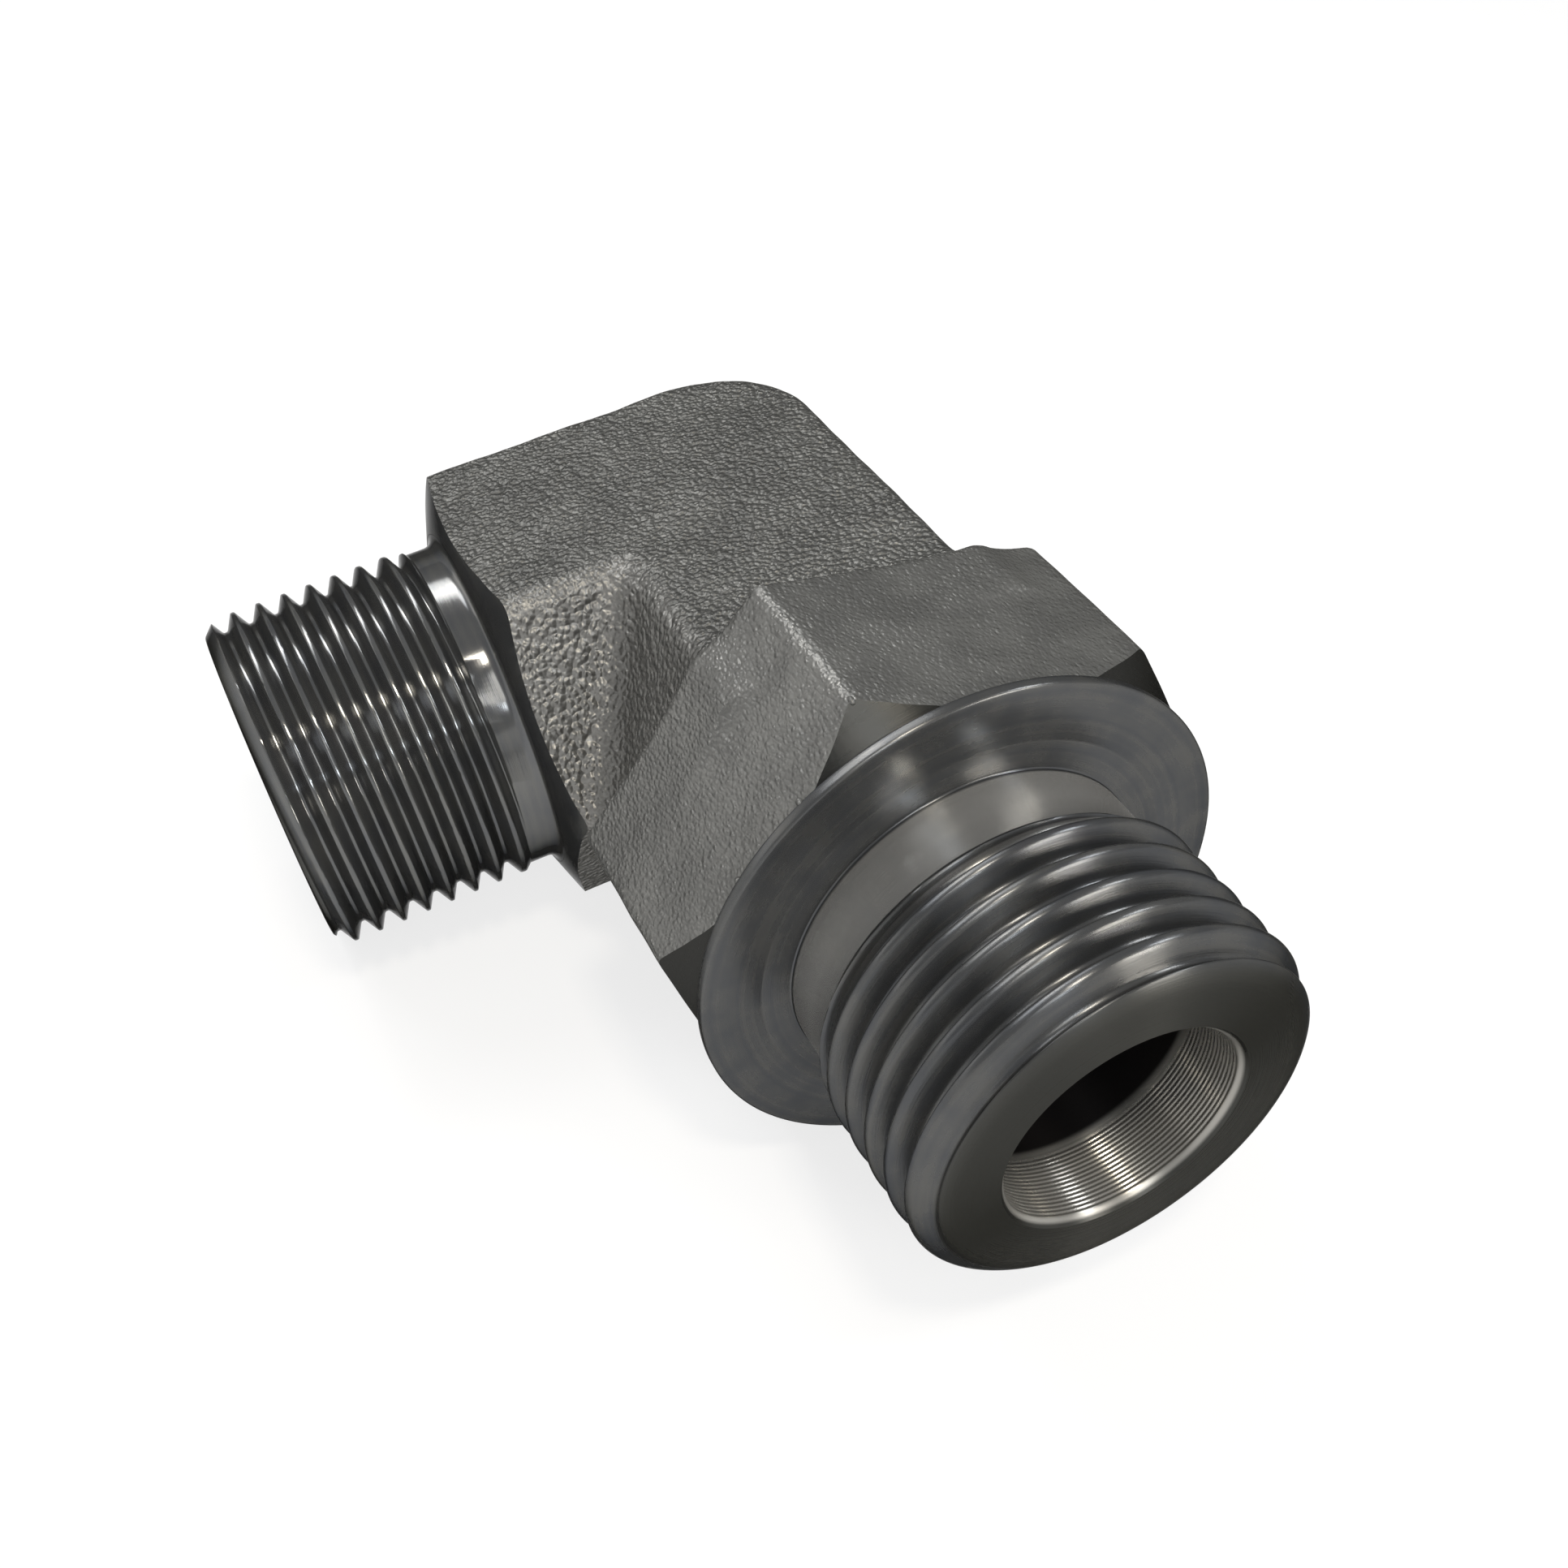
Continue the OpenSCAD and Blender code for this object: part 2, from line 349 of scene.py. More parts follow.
# %% Tools
shoulder_r = 10.3
shoulder_angle = math.radians(20)
chamfer_angle = math.radians(48)
chamfer_r = 14.02
passage_r = 4.0
sleeve = 0.6  # wall of the turned pieces where they line the forging
wide = 14.6  # how far out the shoulder is turned
far_r = 18  # past every corner of the hexagon
far_reach = 32

shoulder_rise = (wide - shoulder_r) * math.tan(shoulder_angle)
shoulder_tool = lathe(
    "shoulder_tool",
    [shoulder_reach, shoulder_reach, shoulder_reach - shoulder_rise, 30, 30],
    [0.3, shoulder_r, wide, wide, 0.3],
    along_tube=True,
)
chamfer_back = (far_r - chamfer_r) * math.tan(chamfer_angle)
chamfer_tool = lathe(
    "chamfer_tool",
    [hex_front + lap, hex_front + lap, hex_front, hex_front - chamfer_back,
     far_reach, far_reach],
    [0.3, chamfer_r - lap, chamfer_r, far_r, far_r, 0.3],
    along_tube=False,
)
bore_tool = lathe(
    "bore_tool", [-9, 31], [bore_r + sleeve / 2] * 2, along_tube=False)
passage_tool = lathe(
    "passage_tool", [0, 20], [passage_r + sleeve / 2] * 2, along_tube=True)


def cut(piece, tools):
    """Subtracts each tool from the piece and removes the tool."""
    for tool in tools:
        step = piece.modifiers.new("cut", "BOOLEAN")
        step.operation = "DIFFERENCE"
        step.object = tool
        step.solver = "MANIFOLD"
        step.material_mode = "TRANSFER"
    graph = bpy.context.evaluated_depsgraph_get()
    result = bpy.data.meshes.new_from_object(piece.evaluated_get(graph))
    piece.modifiers.clear()
    piece.data = result
    for tool in tools:
        bpy.data.objects.remove(tool)


print("tools:", shoulder_tool.name, chamfer_tool.name, bore_tool.name, passage_tool.name)

# %% [markdown]
# ## The pipe thread's form
# The stud carries a pipe thread of the rounded 55 degree form, which is why
# its highlights are wide. The form is written once, as a radius that depends
# on the distance from the nearest crest.

# %% Pipe thread form
pipe_pitch = 1.814
pipe_flank = math.radians(27.5)
pipe_round = 0.1373 * pipe_pitch
pipe_root = stud_r - 0.6403 * pipe_pitch


def pipe_form(away):
    """Radius at a distance from the middle of a crest, for half a pitch."""
    foot = pipe_round * math.cos(pipe_flank)
    drop = pipe_round * (1 - math.sin(pipe_flank))
    rest = pipe_pitch / 2 - away
    crest = stud_r - pipe_round + np.sqrt(np.maximum(pipe_round ** 2 - away ** 2, 0))
    root = pipe_root + pipe_round - np.sqrt(np.maximum(pipe_round ** 2 - rest ** 2, 0))
    flank = stud_r - drop - (away - foot) / math.tan(pipe_flank)
    return np.where(away < foot, crest, np.where(rest < foot, root, flank))


def pitches_away(s, pitch, phase):
    """Distance of each lattice point from the nearest crest of the helix."""
    turn = (s[:, None] - phase - pitch * turn_angle / (2 * math.pi)) / pitch
    return np.abs(turn - np.round(turn)) * pitch


print("pipe thread depth: %.3f" % (stud_r - pipe_root))

# %% [markdown]
# ## The stud's thread
# The helix starts where the photograph shows its crests. It runs out into the
# neck, and at the front it meets a rounded lead, a quarter of an ellipse. The
# stations lie closer there, so that the lead's highlight stays smooth.

# %% Stud thread
pipe_phase = 1.03
neck_r = 9.55
neck_end = 3.45
land_r = 8.58
lead_t = 1.9
run_in = 0.9  # length over which the groove grows out of the neck
thread_s = np.concatenate([np.arange(neck_end, stud_len - 0.5, 0.06),
                           np.arange(stud_len - 0.5, stud_len - 0.01, 0.03)])
bulge = np.clip((thread_s - stud_len + lead_t) / lead_t, 0, 1)
lead = land_r + (stud_r - land_r) * np.sqrt(1 - bulge ** 2)
start = neck_r + (thread_s - neck_end) * 0.9
blank = np.minimum(np.minimum(lead, start), stud_r)[:, None]
fade = np.maximum(neck_end + run_in - thread_s, 0)[:, None] * 0.45
groove = pipe_form(pitches_away(thread_s, pipe_pitch, pipe_phase)) + fade
stud_thread = smooth_min(blank, groove, 0.3)
print("stud thread rows:", len(thread_s))

# %% [markdown]
# ## The stud end
# Collar, neck and pipe thread are one turned piece with the bore inside. A
# faint ring on the collar shows where a washer sat. The tool's feed leaves
# rings on the first few millimetres of the bore, which are cut as geometry
# because they catch the light.

# %% Stud profile
mouth = 0.33
ring_zone = 3.5
ring_pitch = 0.23
drill_reach = collar_reach + 4.2
chisel_r = 0.4
rim_round = 0.15
face_round = 0.16

ring_s = stud_len - mouth - np.arange(0.0, ring_zone, 0.04)
rings = bore_r + 0.02 - 0.02 * np.cos(ring_s * 2 * math.pi / ring_pitch)

back = [(-drill_reach - 5, chisel_r), (-drill_reach - 5, bore_r + sleeve)]
back += [(-rim_t - 1, bore_r + sleeve), (-rim_t - 1, 12.5), (-rim_t, 12.5)]
back += arc((-rim_t + rim_round, collar_r - rim_round), rim_round, 180, 90, 5)
face = arc((-face_round, collar_r - face_round), face_round, 90, 0, 4)
face += [(0, 12.6), (0, 11.25), (-0.015, 11.18), (-0.015, 11.08), (0, 11.0)]
neck = arc((0.1, neck_r + 0.1), 0.1, 180, 270, 4) + [(2.0, neck_r)]
front = [(stud_len, land_r - 0.05), (stud_len, 7.6), (stud_len, bore_r + mouth)]
deep = [(stud_len - mouth - ring_zone - 0.1, bore_r), (0, bore_r)]
deep += [(-drill_reach, bore_r), (-drill_reach - 3.3, chisel_r)]


def stack(*parts):
    """Joins plain profile points and threaded rows into one lattice."""
    stations, radii = [], []
    for part in parts:
        if isinstance(part, tuple):
            s, r = part
        else:
            s, r = np.array(part).T
        if r.ndim == 1:
            r = np.repeat(r[:, None], columns, axis=1)
        stations.append(s)
        radii.append(r)
    return np.concatenate(stations), np.concatenate(radii)


s, r = stack(back, face, neck, (thread_s, stud_thread), front, (ring_s, rings), deep)
stud_end = lathe("stud_end", s + collar_reach, r, along_tube=False)
print("stud end:", len(stud_end.data.polygons), "faces")

# %% [markdown]
# ## The tube end's thread
# A nut screws on to this metric thread. Its crests are sharp, so each one
# shows as a thin bright line. It is wound like the stud's.

# %% Tube thread
metric_pitch = 1.5
metric_root = tube_r - 0.6134 * metric_pitch
metric_phase = 0.138
relief_r = 9.65
relief_end = 16.6
face_r = 9.2


def metric_form(away):
    """Radius at a distance from the middle of a crest."""
    flank = tube_r - (away - 0.1) / math.tan(math.radians(30))
    return smooth_max(smooth_min(flank, np.full_like(away, tube_r), 0.07),
                      np.full_like(away, metric_root), 0.12)


thread_s = np.arange(relief_end, tube_reach - 0.02, 0.055)
lead = face_r + (tube_reach - thread_s)
start = relief_r + (thread_s - relief_end)
blank = np.minimum(np.minimum(lead, start), tube_r)[:, None]
fade = np.maximum(relief_end + 0.6 - thread_s, 0)[:, None] * 0.9
groove = metric_form(pitches_away(thread_s, metric_pitch, metric_phase)) + fade
tube_thread = smooth_min(blank, groove, 0.05)
print("tube thread rows:", len(thread_s))

# %% [markdown]
# ## The tube end
# Behind the thread lies a plain relief with a fillet, so that the cutting tool
# can run out. Inside are the cone that seals the tube's ring, and the socket
# that guides the tube.

# %% Tube profile
cone_r = 7.15
cone_angle = math.radians(12)
socket_floor = tube_reach - 11
cone_floor = tube_reach - (cone_r - socket_r) / math.tan(cone_angle)
relief_fillet = 0.6

inner = [(0, passage_r), (0, passage_r + sleeve), (13.2, passage_r + sleeve)]
inner += [(13.2, shoulder_r), (shoulder_reach, shoulder_r)]
inner += arc((shoulder_reach + relief_fillet, relief_r + relief_fillet),
             relief_fillet, 180, 270, 6)
outer = [(tube_reach, face_r - 0.03), (tube_reach, 8.2), (tube_reach, cone_r + 0.08)]
hollow = [(tube_reach - 0.1, cone_r), (cone_floor, socket_r), (socket_floor, socket_r)]
hollow += [(socket_floor, passage_r), (0.01, passage_r)]
s, r = stack(inner, (thread_s, tube_thread), outer, hollow)
tube_end = lathe("tube_end", s, r, along_tube=True)
print("tube end:", len(tube_end.data.polygons), "faces")

# %% [markdown]
# ## Burrs on the rim
# The tool that turned the collar pushed up three tiny beads of metal where it
# ran out of the hexagon. Each is a small stretched ball, half sunk into the
# steel, because bump would give it no outline. It is placed by its reach, its
# radius and its angle round the stud's axis.

# %% Burr beads
bead_r = 0.2
bead_places = ((27.15, 15.35, 105), (28.8, 14.1, 122.4), (28.8, 14.0, 141.3))
net = bmesh.new()
for s, r, degrees in bead_places:
    angle = math.radians(degrees)
    spot = (r * math.cos(angle), -s, r * math.sin(angle))
    stretch = Matrix.Rotation(angle, 4, "Y") @ Matrix.Diagonal((1, 1.4, 0.8, 1))
    bmesh.ops.create_icosphere(net, subdivisions=3, radius=bead_r,
                               matrix=Matrix.Translation(spot) @ stretch)
mesh = bpy.data.meshes.new("burr_beads")
net.to_mesh(mesh)
net.free()
mesh.transform(place)
beads = bpy.data.objects.new("burr_beads", mesh)
bpy.context.scene.collection.objects.link(beads)
print("beads:", len(bead_places))

# %% [markdown]
# ## Opening the passages
# The oil passage runs from the tube socket into the stud's bore, so each piece
# is cut where the other one's bore passes through it. The materials are still
# empty here, but a cut face takes one from its tool, so they go on first.

# %% Materials on the pieces
def paint(obj, material):
    obj.data.materials.clear()
    obj.data.materials.append(material)


forged_steel = bpy.data.materials.new("forged_steel")
turned_steel = bpy.data.materials.new("turned_steel")
stud_steel = bpy.data.materials.new("stud_steel")
paint(forging, forged_steel)
for tool in (shoulder_tool, bore_tool, passage_tool):
    paint(tool, turned_steel)
# The chamfer takes the stud end's darker steel: painted shade on its facets, which would
# otherwise mirror the lamps in front.
paint(chamfer_tool, stud_steel)
paint(stud_end, stud_steel)
paint(tube_end, turned_steel)
paint(beads, forged_steel)
print("materials:", forged_steel.name, turned_steel.name, stud_steel.name)

# %% Cuts
cut(forging, [shoulder_tool, chamfer_tool, bore_tool, passage_tool])
stud_hole = lathe("stud_hole", [0, 8], [passage_r] * 2, along_tube=True)
tube_hole = lathe("tube_hole", [-9, 9], [bore_r + sleeve / 2] * 2, along_tube=False)
paint(stud_hole, stud_steel)
paint(tube_hole, turned_steel)
cut(stud_end, [stud_hole])
cut(tube_end, [tube_hole])
print("stud end after its cut:", len(stud_end.data.polygons), "faces")

# %% [markdown]
# ## Shading and places in the model
# Faces that meet at less than the given angle shade as one smooth surface, so
# the turned corners stay crisp. All four pieces stand for the one solid of the
# CAD model and ride on its body.

# %% Smooth shading and frame
for piece, edge in ((forging, 32), (stud_end, 42), (tube_end, 42), (beads, 60)):
    for face in piece.data.polygons:
        face.use_smooth = True
    piece.data.set_sharp_from_angle(angle=math.radians(edge))
    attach(piece, "root")
    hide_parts("elbow_body")
    print(piece.name, len(piece.data.polygons), "faces")

# %% [markdown]
# ## Wear on the edges
# The same field tells how sharply the skin bends. Convex places are where a
# forging is rubbed bright, so the bend is kept as an attribute for the shader.
# Blender's own measure, Pointiness, changes with the mesh, and the field's
# doesn't. A second attribute marks the throat, where the grain is coarser on
# the tube's side and the colour is painted paler, painted light on the side
# that faces the low lamp.

# %% Edge attribute
back_to_work = place.inverted()
co = np.zeros(len(forging.data.vertices) * 3)
forging.data.vertices.foreach_get("co", co)
co = co.reshape(-1, 3) @ np.array(back_to_work.to_3x3()).T
co += np.array(back_to_work.translation)
reach = 0.45
full_wear = 0.9
bend = -6 * forging_distance(*co.T)
for shift in np.eye(3) * reach:
    bend += forging_distance(*(co + shift).T) + forging_distance(*(co - shift).T)
wear = np.clip(bend / reach ** 2 / full_wear, -1, 1)
throat_start, throat_fade = 6.0, 1.5
inward = -np.maximum(co[:, 0], co[:, 1])
in_throat = np.clip((inward - throat_start) / throat_fade, 0, 1)
in_throat *= np.clip((co[:, 1] - co[:, 0]) / 1.2 + 0.5, 0.45, 1)
for name, value in (("edge", wear), ("throat", in_throat)):
    attribute = forging.data.attributes.new(name, "FLOAT", "POINT")
    attribute.data.foreach_set("value", value.astype(np.float32))
print("worn edge points:", int((wear > 0.5).sum()), "of", len(wear))

# %% [markdown]
# ## Node helpers
# One function adds a node, sets its inputs and links the sockets that are
# given as values. The others are short names for the nodes used most.

# %% Node helpers
def add(tree, kind, inputs=None, **settings):
    """Adds a node. Its settings come first, because they change its sockets."""
    node = tree.nodes.new(kind)
    for name, value in settings.items():
        setattr(node, name, value)
    for name, value in (inputs or {}).items():
        socket = node.inputs[name]
        if isinstance(value, bpy.types.NodeSocket):
            tree.links.new(value, socket)
        else:
            socket.default_value = value
    return node


def maths(tree, operation, a, b=0.0, c=0.0):
    return add(tree, "ShaderNodeMath", {0: a, 1: b, 2: c}, operation=operation).outputs[0]


def vectors(tree, operation, inputs, output=0):
    return add(tree, "ShaderNodeVectorMath", inputs, operation=operation).outputs[output]


def blend_value(tree, factor, a, b):
    return add(tree, "ShaderNodeMix", {0: factor, 2: a, 3: b}).outputs[0]


def blend_colour(tree, factor, a, b):
    return add(tree, "ShaderNodeMix", {0: factor, 6: a, 7: b},
               data_type="RGBA").outputs[2]


def ramp(tree, value, low, high):
    """0 below low, 1 above high, smooth between. Low may be the larger."""
    return add(tree, "ShaderNodeMapRange",
               {"Value": value, "From Min": low, "From Max": high},
               interpolation_type="SMOOTHSTEP").outputs["Result"]


# %% Group helpers
FLOAT, VECTOR = "NodeSocketFloat", "NodeSocketVector"


def new_group(name, inputs, outputs):
    """A node group with its sockets. Gives the group and both ends of it."""
    group = bpy.data.node_groups.new(name, "ShaderNodeTree")
    for label, kind, default in inputs:
        socket = group.interface.new_socket(label, in_out="INPUT", socket_type=kind)
        if default is not None:
            socket.default_value = default
    for label, kind in outputs:
        group.interface.new_socket(label, in_out="OUTPUT", socket_type=kind)
    start = group.nodes.new("NodeGroupInput")
    end = group.nodes.new("NodeGroupOutput")
    return group, start.outputs, end.inputs


def use(tree, group, inputs):
    """Places a group in a tree and gives its outputs."""
    return add(tree, "ShaderNodeGroup", inputs, node_tree=group).outputs


print("socket kinds:", FLOAT, VECTOR)

# %% [markdown]
# ## Forged grain
# Shot blasting leaves a skin of small dents, each the size of a shot. Dents in
# the mesh would take millions of faces, so they are bump from a cell pattern.
# The group works in millimetres. It gives a height for bump, a mask of the
# high spots that handling has rubbed smooth, and broad patches of tone.

# %% Forged grain group
grain, given, wanted = new_group(
    "Forged grain",
    [("Position", VECTOR, None), ("Grain Size", FLOAT, 0.4),
     ("Stretch", VECTOR, (1, 1, 1))],
    [("Height", FLOAT), ("High Spots", FLOAT), ("Patches", FLOAT)],
)
bend = add(grain, "ShaderNodeTexNoise", {
    "Vector": given["Position"], "Scale": 1.7, "Detail": 0.0})
bent = vectors(grain, "MULTIPLY_ADD", {
    0: bend.outputs["Color"], 1: (0.12, 0.12, 0.12), 2: given["Position"]})
bent = vectors(grain, "MULTIPLY", {0: bent, 1: given["Stretch"]})
density = maths(grain, "DIVIDE", 1.0, given["Grain Size"])
dents = add(grain, "ShaderNodeTexVoronoi", {
    "Vector": bent, "Scale": density, "Smoothness": 0.3}, feature="SMOOTH_F1")
lumps = add(grain, "ShaderNodeTexNoise", {
    "Vector": bent, "Scale": maths(grain, "MULTIPLY", density, 0.9), "Detail": 1.0})
height = maths(grain, "MULTIPLY_ADD", dents.outputs["Distance"], -1.0, lumps.outputs[0])
grain.links.new(height, wanted["Height"])
grain.links.new(ramp(grain, height, 0.15, 0.5), wanted["High Spots"])
patches = add(grain, "ShaderNodeTexNoise", {
    "Vector": given["Position"], "Scale": 0.3, "Detail": 3.0, "Roughness": 0.6})
grain.links.new(ramp(grain, patches.outputs[0], 0.35, 0.65), wanted["Patches"])
print(grain.name, "nodes:", len(grain.nodes))

# %% [markdown]
# ## Turning lines
# On a lathe every mark is a circle round the axis. The group turns a position
# into a distance along the axis and a radius, and draws noise from those two
# alone, so the marks run round each turned surface. An image would need an
# unwrapped mesh and would show a seam.

# %% Turning lines group
turning, given, wanted = new_group(
    "Turning lines",
    [("Position", VECTOR, None), ("Axis", VECTOR, (0, -1, 0)),
     ("Centre", VECTOR, (0, 0, 0)), ("Line Width", FLOAT, 0.08)],
    [("Height", FLOAT), ("Tone", FLOAT), ("Along", FLOAT), ("Radius", FLOAT)],
)
offset = vectors(turning, "SUBTRACT", {0: given["Position"], 1: given["Centre"]})
along = vectors(turning, "DOT_PRODUCT", {0: offset, 1: given["Axis"]}, "Value")
spine = vectors(turning, "SCALE", {0: given["Axis"], "Scale": along})
across = vectors(turning, "SUBTRACT", {0: offset, 1: spine})
radius = vectors(turning, "LENGTH", {0: across}, "Value")
flat = add(turning, "ShaderNodeCombineXYZ", {"X": along, "Y": radius}).outputs[0]
fine, broad = (
    add(turning, "ShaderNodeTexNoise", {
        "Vector": flat, "Scale": maths(turning, "DIVIDE", share, given["Line Width"]),
        "Detail": 2.0})
    for share in (1.0, 0.2)
)
smear = add(turning, "ShaderNodeTexNoise", {
    "Vector": offset, "Scale": 0.5, "Detail": 3.0})
tone = maths(turning, "MULTIPLY_ADD", smear.outputs[0], 0.5,
             maths(turning, "MULTIPLY", broad.outputs[0], 0.5))
for name, socket in (("Height", fine.outputs[0]), ("Tone", tone), ("Along", along),
                     ("Radius", radius)):
    turning.links.new(socket, wanted[name])
print(turning.name, "nodes:", len(turning.nodes))

# %% Start of a material
def start_material(material):
    """Clears the nodes. Gives the tree, the shader and a position in millimetres."""
    material.use_nodes = True
    tree = material.node_tree
    tree.nodes.clear()
    shader = tree.nodes.new("ShaderNodeBsdfPrincipled")
    output = tree.nodes.new("ShaderNodeOutputMaterial")
    tree.links.new(shader.outputs[0], output.inputs[0])
    where = add(tree, "ShaderNodeTexCoord").outputs["Object"]
    position = vectors(tree, "SCALE", {0: where, "Scale": 1 / MM})
    return tree, shader, position


# %% [markdown]
# ## The forged skin
# Dark steel with a coarse grain on the block, a finer one on the hexagon, and
# pebbles in the throat. The grain is bump, its high spots are a little
# smoother, and worn edges are brighter. The steel is not fully metallic: the
# small matt share stands in for light that bounces from dent to dent. A dark
# tint keeps the edges from turning white where they are seen at a low angle.

# %% Forged grain on the piece
tree, shader, position = start_material(forged_steel)
shader.inputs["Metallic"].default_value = 0.75
shader.inputs["Specular IOR Level"].default_value = 0.0
shader.inputs["Specular Tint"].default_value = (0.1, 0.1, 0.1, 1)
axes = add(tree, "ShaderNodeSeparateXYZ", {0: position}).outputs
hex_end = collar_reach - hex_back
on_hexagon = ramp(tree, axes["Y"], hex_end + 2.0, hex_end - 1.0)
throat = add(tree, "ShaderNodeAttribute", attribute_name="throat").outputs["Fac"]
coarse = use(tree, grain, {"Position": position, "Grain Size": 0.28})
pebbles = use(tree, grain, {"Position": position, "Grain Size": 0.38})
fine = use(tree, grain, {"Position": position, "Grain Size": 0.2,
                         "Stretch": (1.0, 0.7, 1.0)})
deeper = maths(tree, "MULTIPLY", pebbles["Height"], 1.5)
height = blend_value(tree, throat, coarse["Height"], deeper)
height = blend_value(tree, on_hexagon, height, fine["Height"])
block_depth, flats_depth = 0.14 * MM, 0.05 * MM
depth = maths(tree, "MULTIPLY_ADD", on_hexagon, flats_depth - block_depth, block_depth)
bump = add(tree, "ShaderNodeBump", {"Height": height, "Strength": 1.0, "Distance": depth})
tree.links.new(bump.outputs[0], shader.inputs["Normal"])
print("grain depth on block and hexagon, mm:", block_depth / MM, flats_depth / MM)

# %% Forged colour
# The block's tones are set darker and the hexagon's lighter: painted shade on the brightly
# lit block and painted light on the hexagon.
block_dark, block_pale = (0.112, 0.112, 0.108, 1), (0.14, 0.14, 0.134, 1)
flats_dark, flats_pale = (0.145, 0.145, 0.14, 1), (0.175, 0.175, 0.168, 1)
# The throat's paler tone is painted light on the tube's side of the throat.
throat_painted_light = (0.225, 0.222, 0.212, 1)
rubbed = (0.24, 0.238, 0.23, 1)
worn_bright = (0.33, 0.325, 0.31, 1)
spots = blend_value(tree, on_hexagon, coarse["High Spots"], fine["High Spots"])
edge = add(tree, "ShaderNodeAttribute", attribute_name="edge").outputs["Fac"]
worn = maths(tree, "MULTIPLY", ramp(tree, edge, 0.2, 1.0), spots)
dark = blend_colour(tree, coarse["Patches"], block_dark, block_pale)
dark = blend_colour(tree, throat, dark, throat_painted_light)
flats = blend_colour(tree, coarse["Patches"], flats_dark, flats_pale)
dark = blend_colour(tree, on_hexagon, dark, flats)
skin = blend_colour(tree, maths(tree, "MULTIPLY", spots, 0.35), dark, rubbed)
skin = blend_colour(tree, maths(tree, "MULTIPLY", worn, 0.6), skin, worn_bright)
tree.links.new(skin, shader.inputs["Base Color"])
rough = maths(tree, "MULTIPLY_ADD", spots, -0.1, 0.42)
tree.links.new(rough, shader.inputs["Roughness"])
print("forged steel nodes:", len(tree.nodes))

# %% [markdown]
# ## Turned steel
# The same steel after the lathe: glossy and dark, with fine lines round it and
# a thin film of oil that varies its tone. Deep in the bore it is dull, and
# painted black: a painted shadow where no lamp reaches.
# The tool's grooves spread a highlight across themselves, so that it runs
# from crest to crest along the axis. The shader does this when it is
# anisotropic and its tangent runs round the axis.

# %% Places on a turned piece
def turned_masks(tree, along, radius, bore_limit, bore_depth, length):
    """Masks of the plain neck, end face, back of the collar, bore and its depth."""
    on_neck = maths(tree, "MULTIPLY", ramp(tree, radius, neck_r + 0.12, neck_r + 0.02),
                    ramp(tree, along, 0.12, 0.3))
    on_neck = maths(tree, "MULTIPLY", on_neck, ramp(tree, along, neck_end + 1, neck_end))
    end_face = ramp(tree, along, length - 0.6, length - 0.05)
    behind = ramp(tree, along, -0.64, -0.75)
    within = ramp(tree, radius, bore_limit + 0.25, bore_limit + 0.1)
    deep = maths(tree, "MULTIPLY", within,
                 ramp(tree, along, bore_depth, bore_depth - 0.6))
    return on_neck, end_face, behind, within, deep


# %% Turned steel
# The neck is painted pale: a painted sheen standing in for lamplight that the neck mirrors
# off the collar's face.
neck_painted_sheen = (0.56, 0.555, 0.54, 1)
# The end face and the front of the lead are painted darker: painted shade, so that they
# don't mirror the pale floor as brightly.
end_painted_shade = (0.062, 0.062, 0.058, 1)
behind_dark = (0.04, 0.04, 0.038, 1)
# The mouth of each bore is painted pale: painted light where a lamp shines into its first
# millimetres.
bore_painted_light = (0.38, 0.37, 0.345, 1)
# Deeper in the bore the steel is painted black: a painted shadow where no lamp reaches.
deep_painted_shadow = (0.012, 0.011, 0.011, 1)


def turned_material(material, axis, centre, bore_limit, bore_depth, length,
                    neck_sheen_share, finish, tones):
    """Dresses one turned end. Reaches are measured from centre along axis."""
    tree, shader, position = start_material(material)
    shader.inputs["Metallic"].default_value = 0.82
    shader.inputs["Specular IOR Level"].default_value = 0.0
    shader.inputs["Specular Tint"].default_value = (0.12, 0.12, 0.12, 1)
    shader.inputs["Anisotropic"].default_value = 0.85
    shader.inputs["Anisotropic Rotation"].default_value = 0.25
    offset = vectors(tree, "SUBTRACT", {0: position, 1: centre})
    around = vectors(tree, "CROSS_PRODUCT", {0: axis, 1: offset})
    tree.links.new(around, shader.inputs["Tangent"])
    marks = use(tree, turning, {"Position": position, "Axis": axis, "Centre": centre,
                                "Line Width": 0.07})
    on_neck, end_face, behind, within, deep = turned_masks(
        tree, marks["Along"], marks["Radius"], bore_limit, bore_depth, length)
    tint = blend_colour(tree, ramp(tree, marks["Tone"], 0.35, 0.65), *tones)
    neck_sheen_mask = maths(tree, "MULTIPLY", on_neck, neck_sheen_share)
    for mask, colour in ((neck_sheen_mask, neck_painted_sheen), (end_face, end_painted_shade),
                         (behind, behind_dark), (within, bore_painted_light), (deep, deep_painted_shadow)):
        tint = blend_colour(tree, mask, tint, colour)
    tree.links.new(tint, shader.inputs["Base Color"])
    rough = maths(tree, "MULTIPLY_ADD", marks["Tone"], 0.1, finish)
    for mask, change in ((end_face, 0.1), (on_neck, -0.1), (deep, 0.3)):
        rough = maths(tree, "MULTIPLY_ADD", mask, change, rough)
    tree.links.new(rough, shader.inputs["Roughness"])
    bump = add(tree, "ShaderNodeBump", {"Height": marks["Height"], "Strength": 0.5,
                                        "Distance": 0.012 * MM})
    tree.links.new(bump.outputs[0], shader.inputs["Normal"])
    print(material.name, "nodes:", len(tree.nodes))


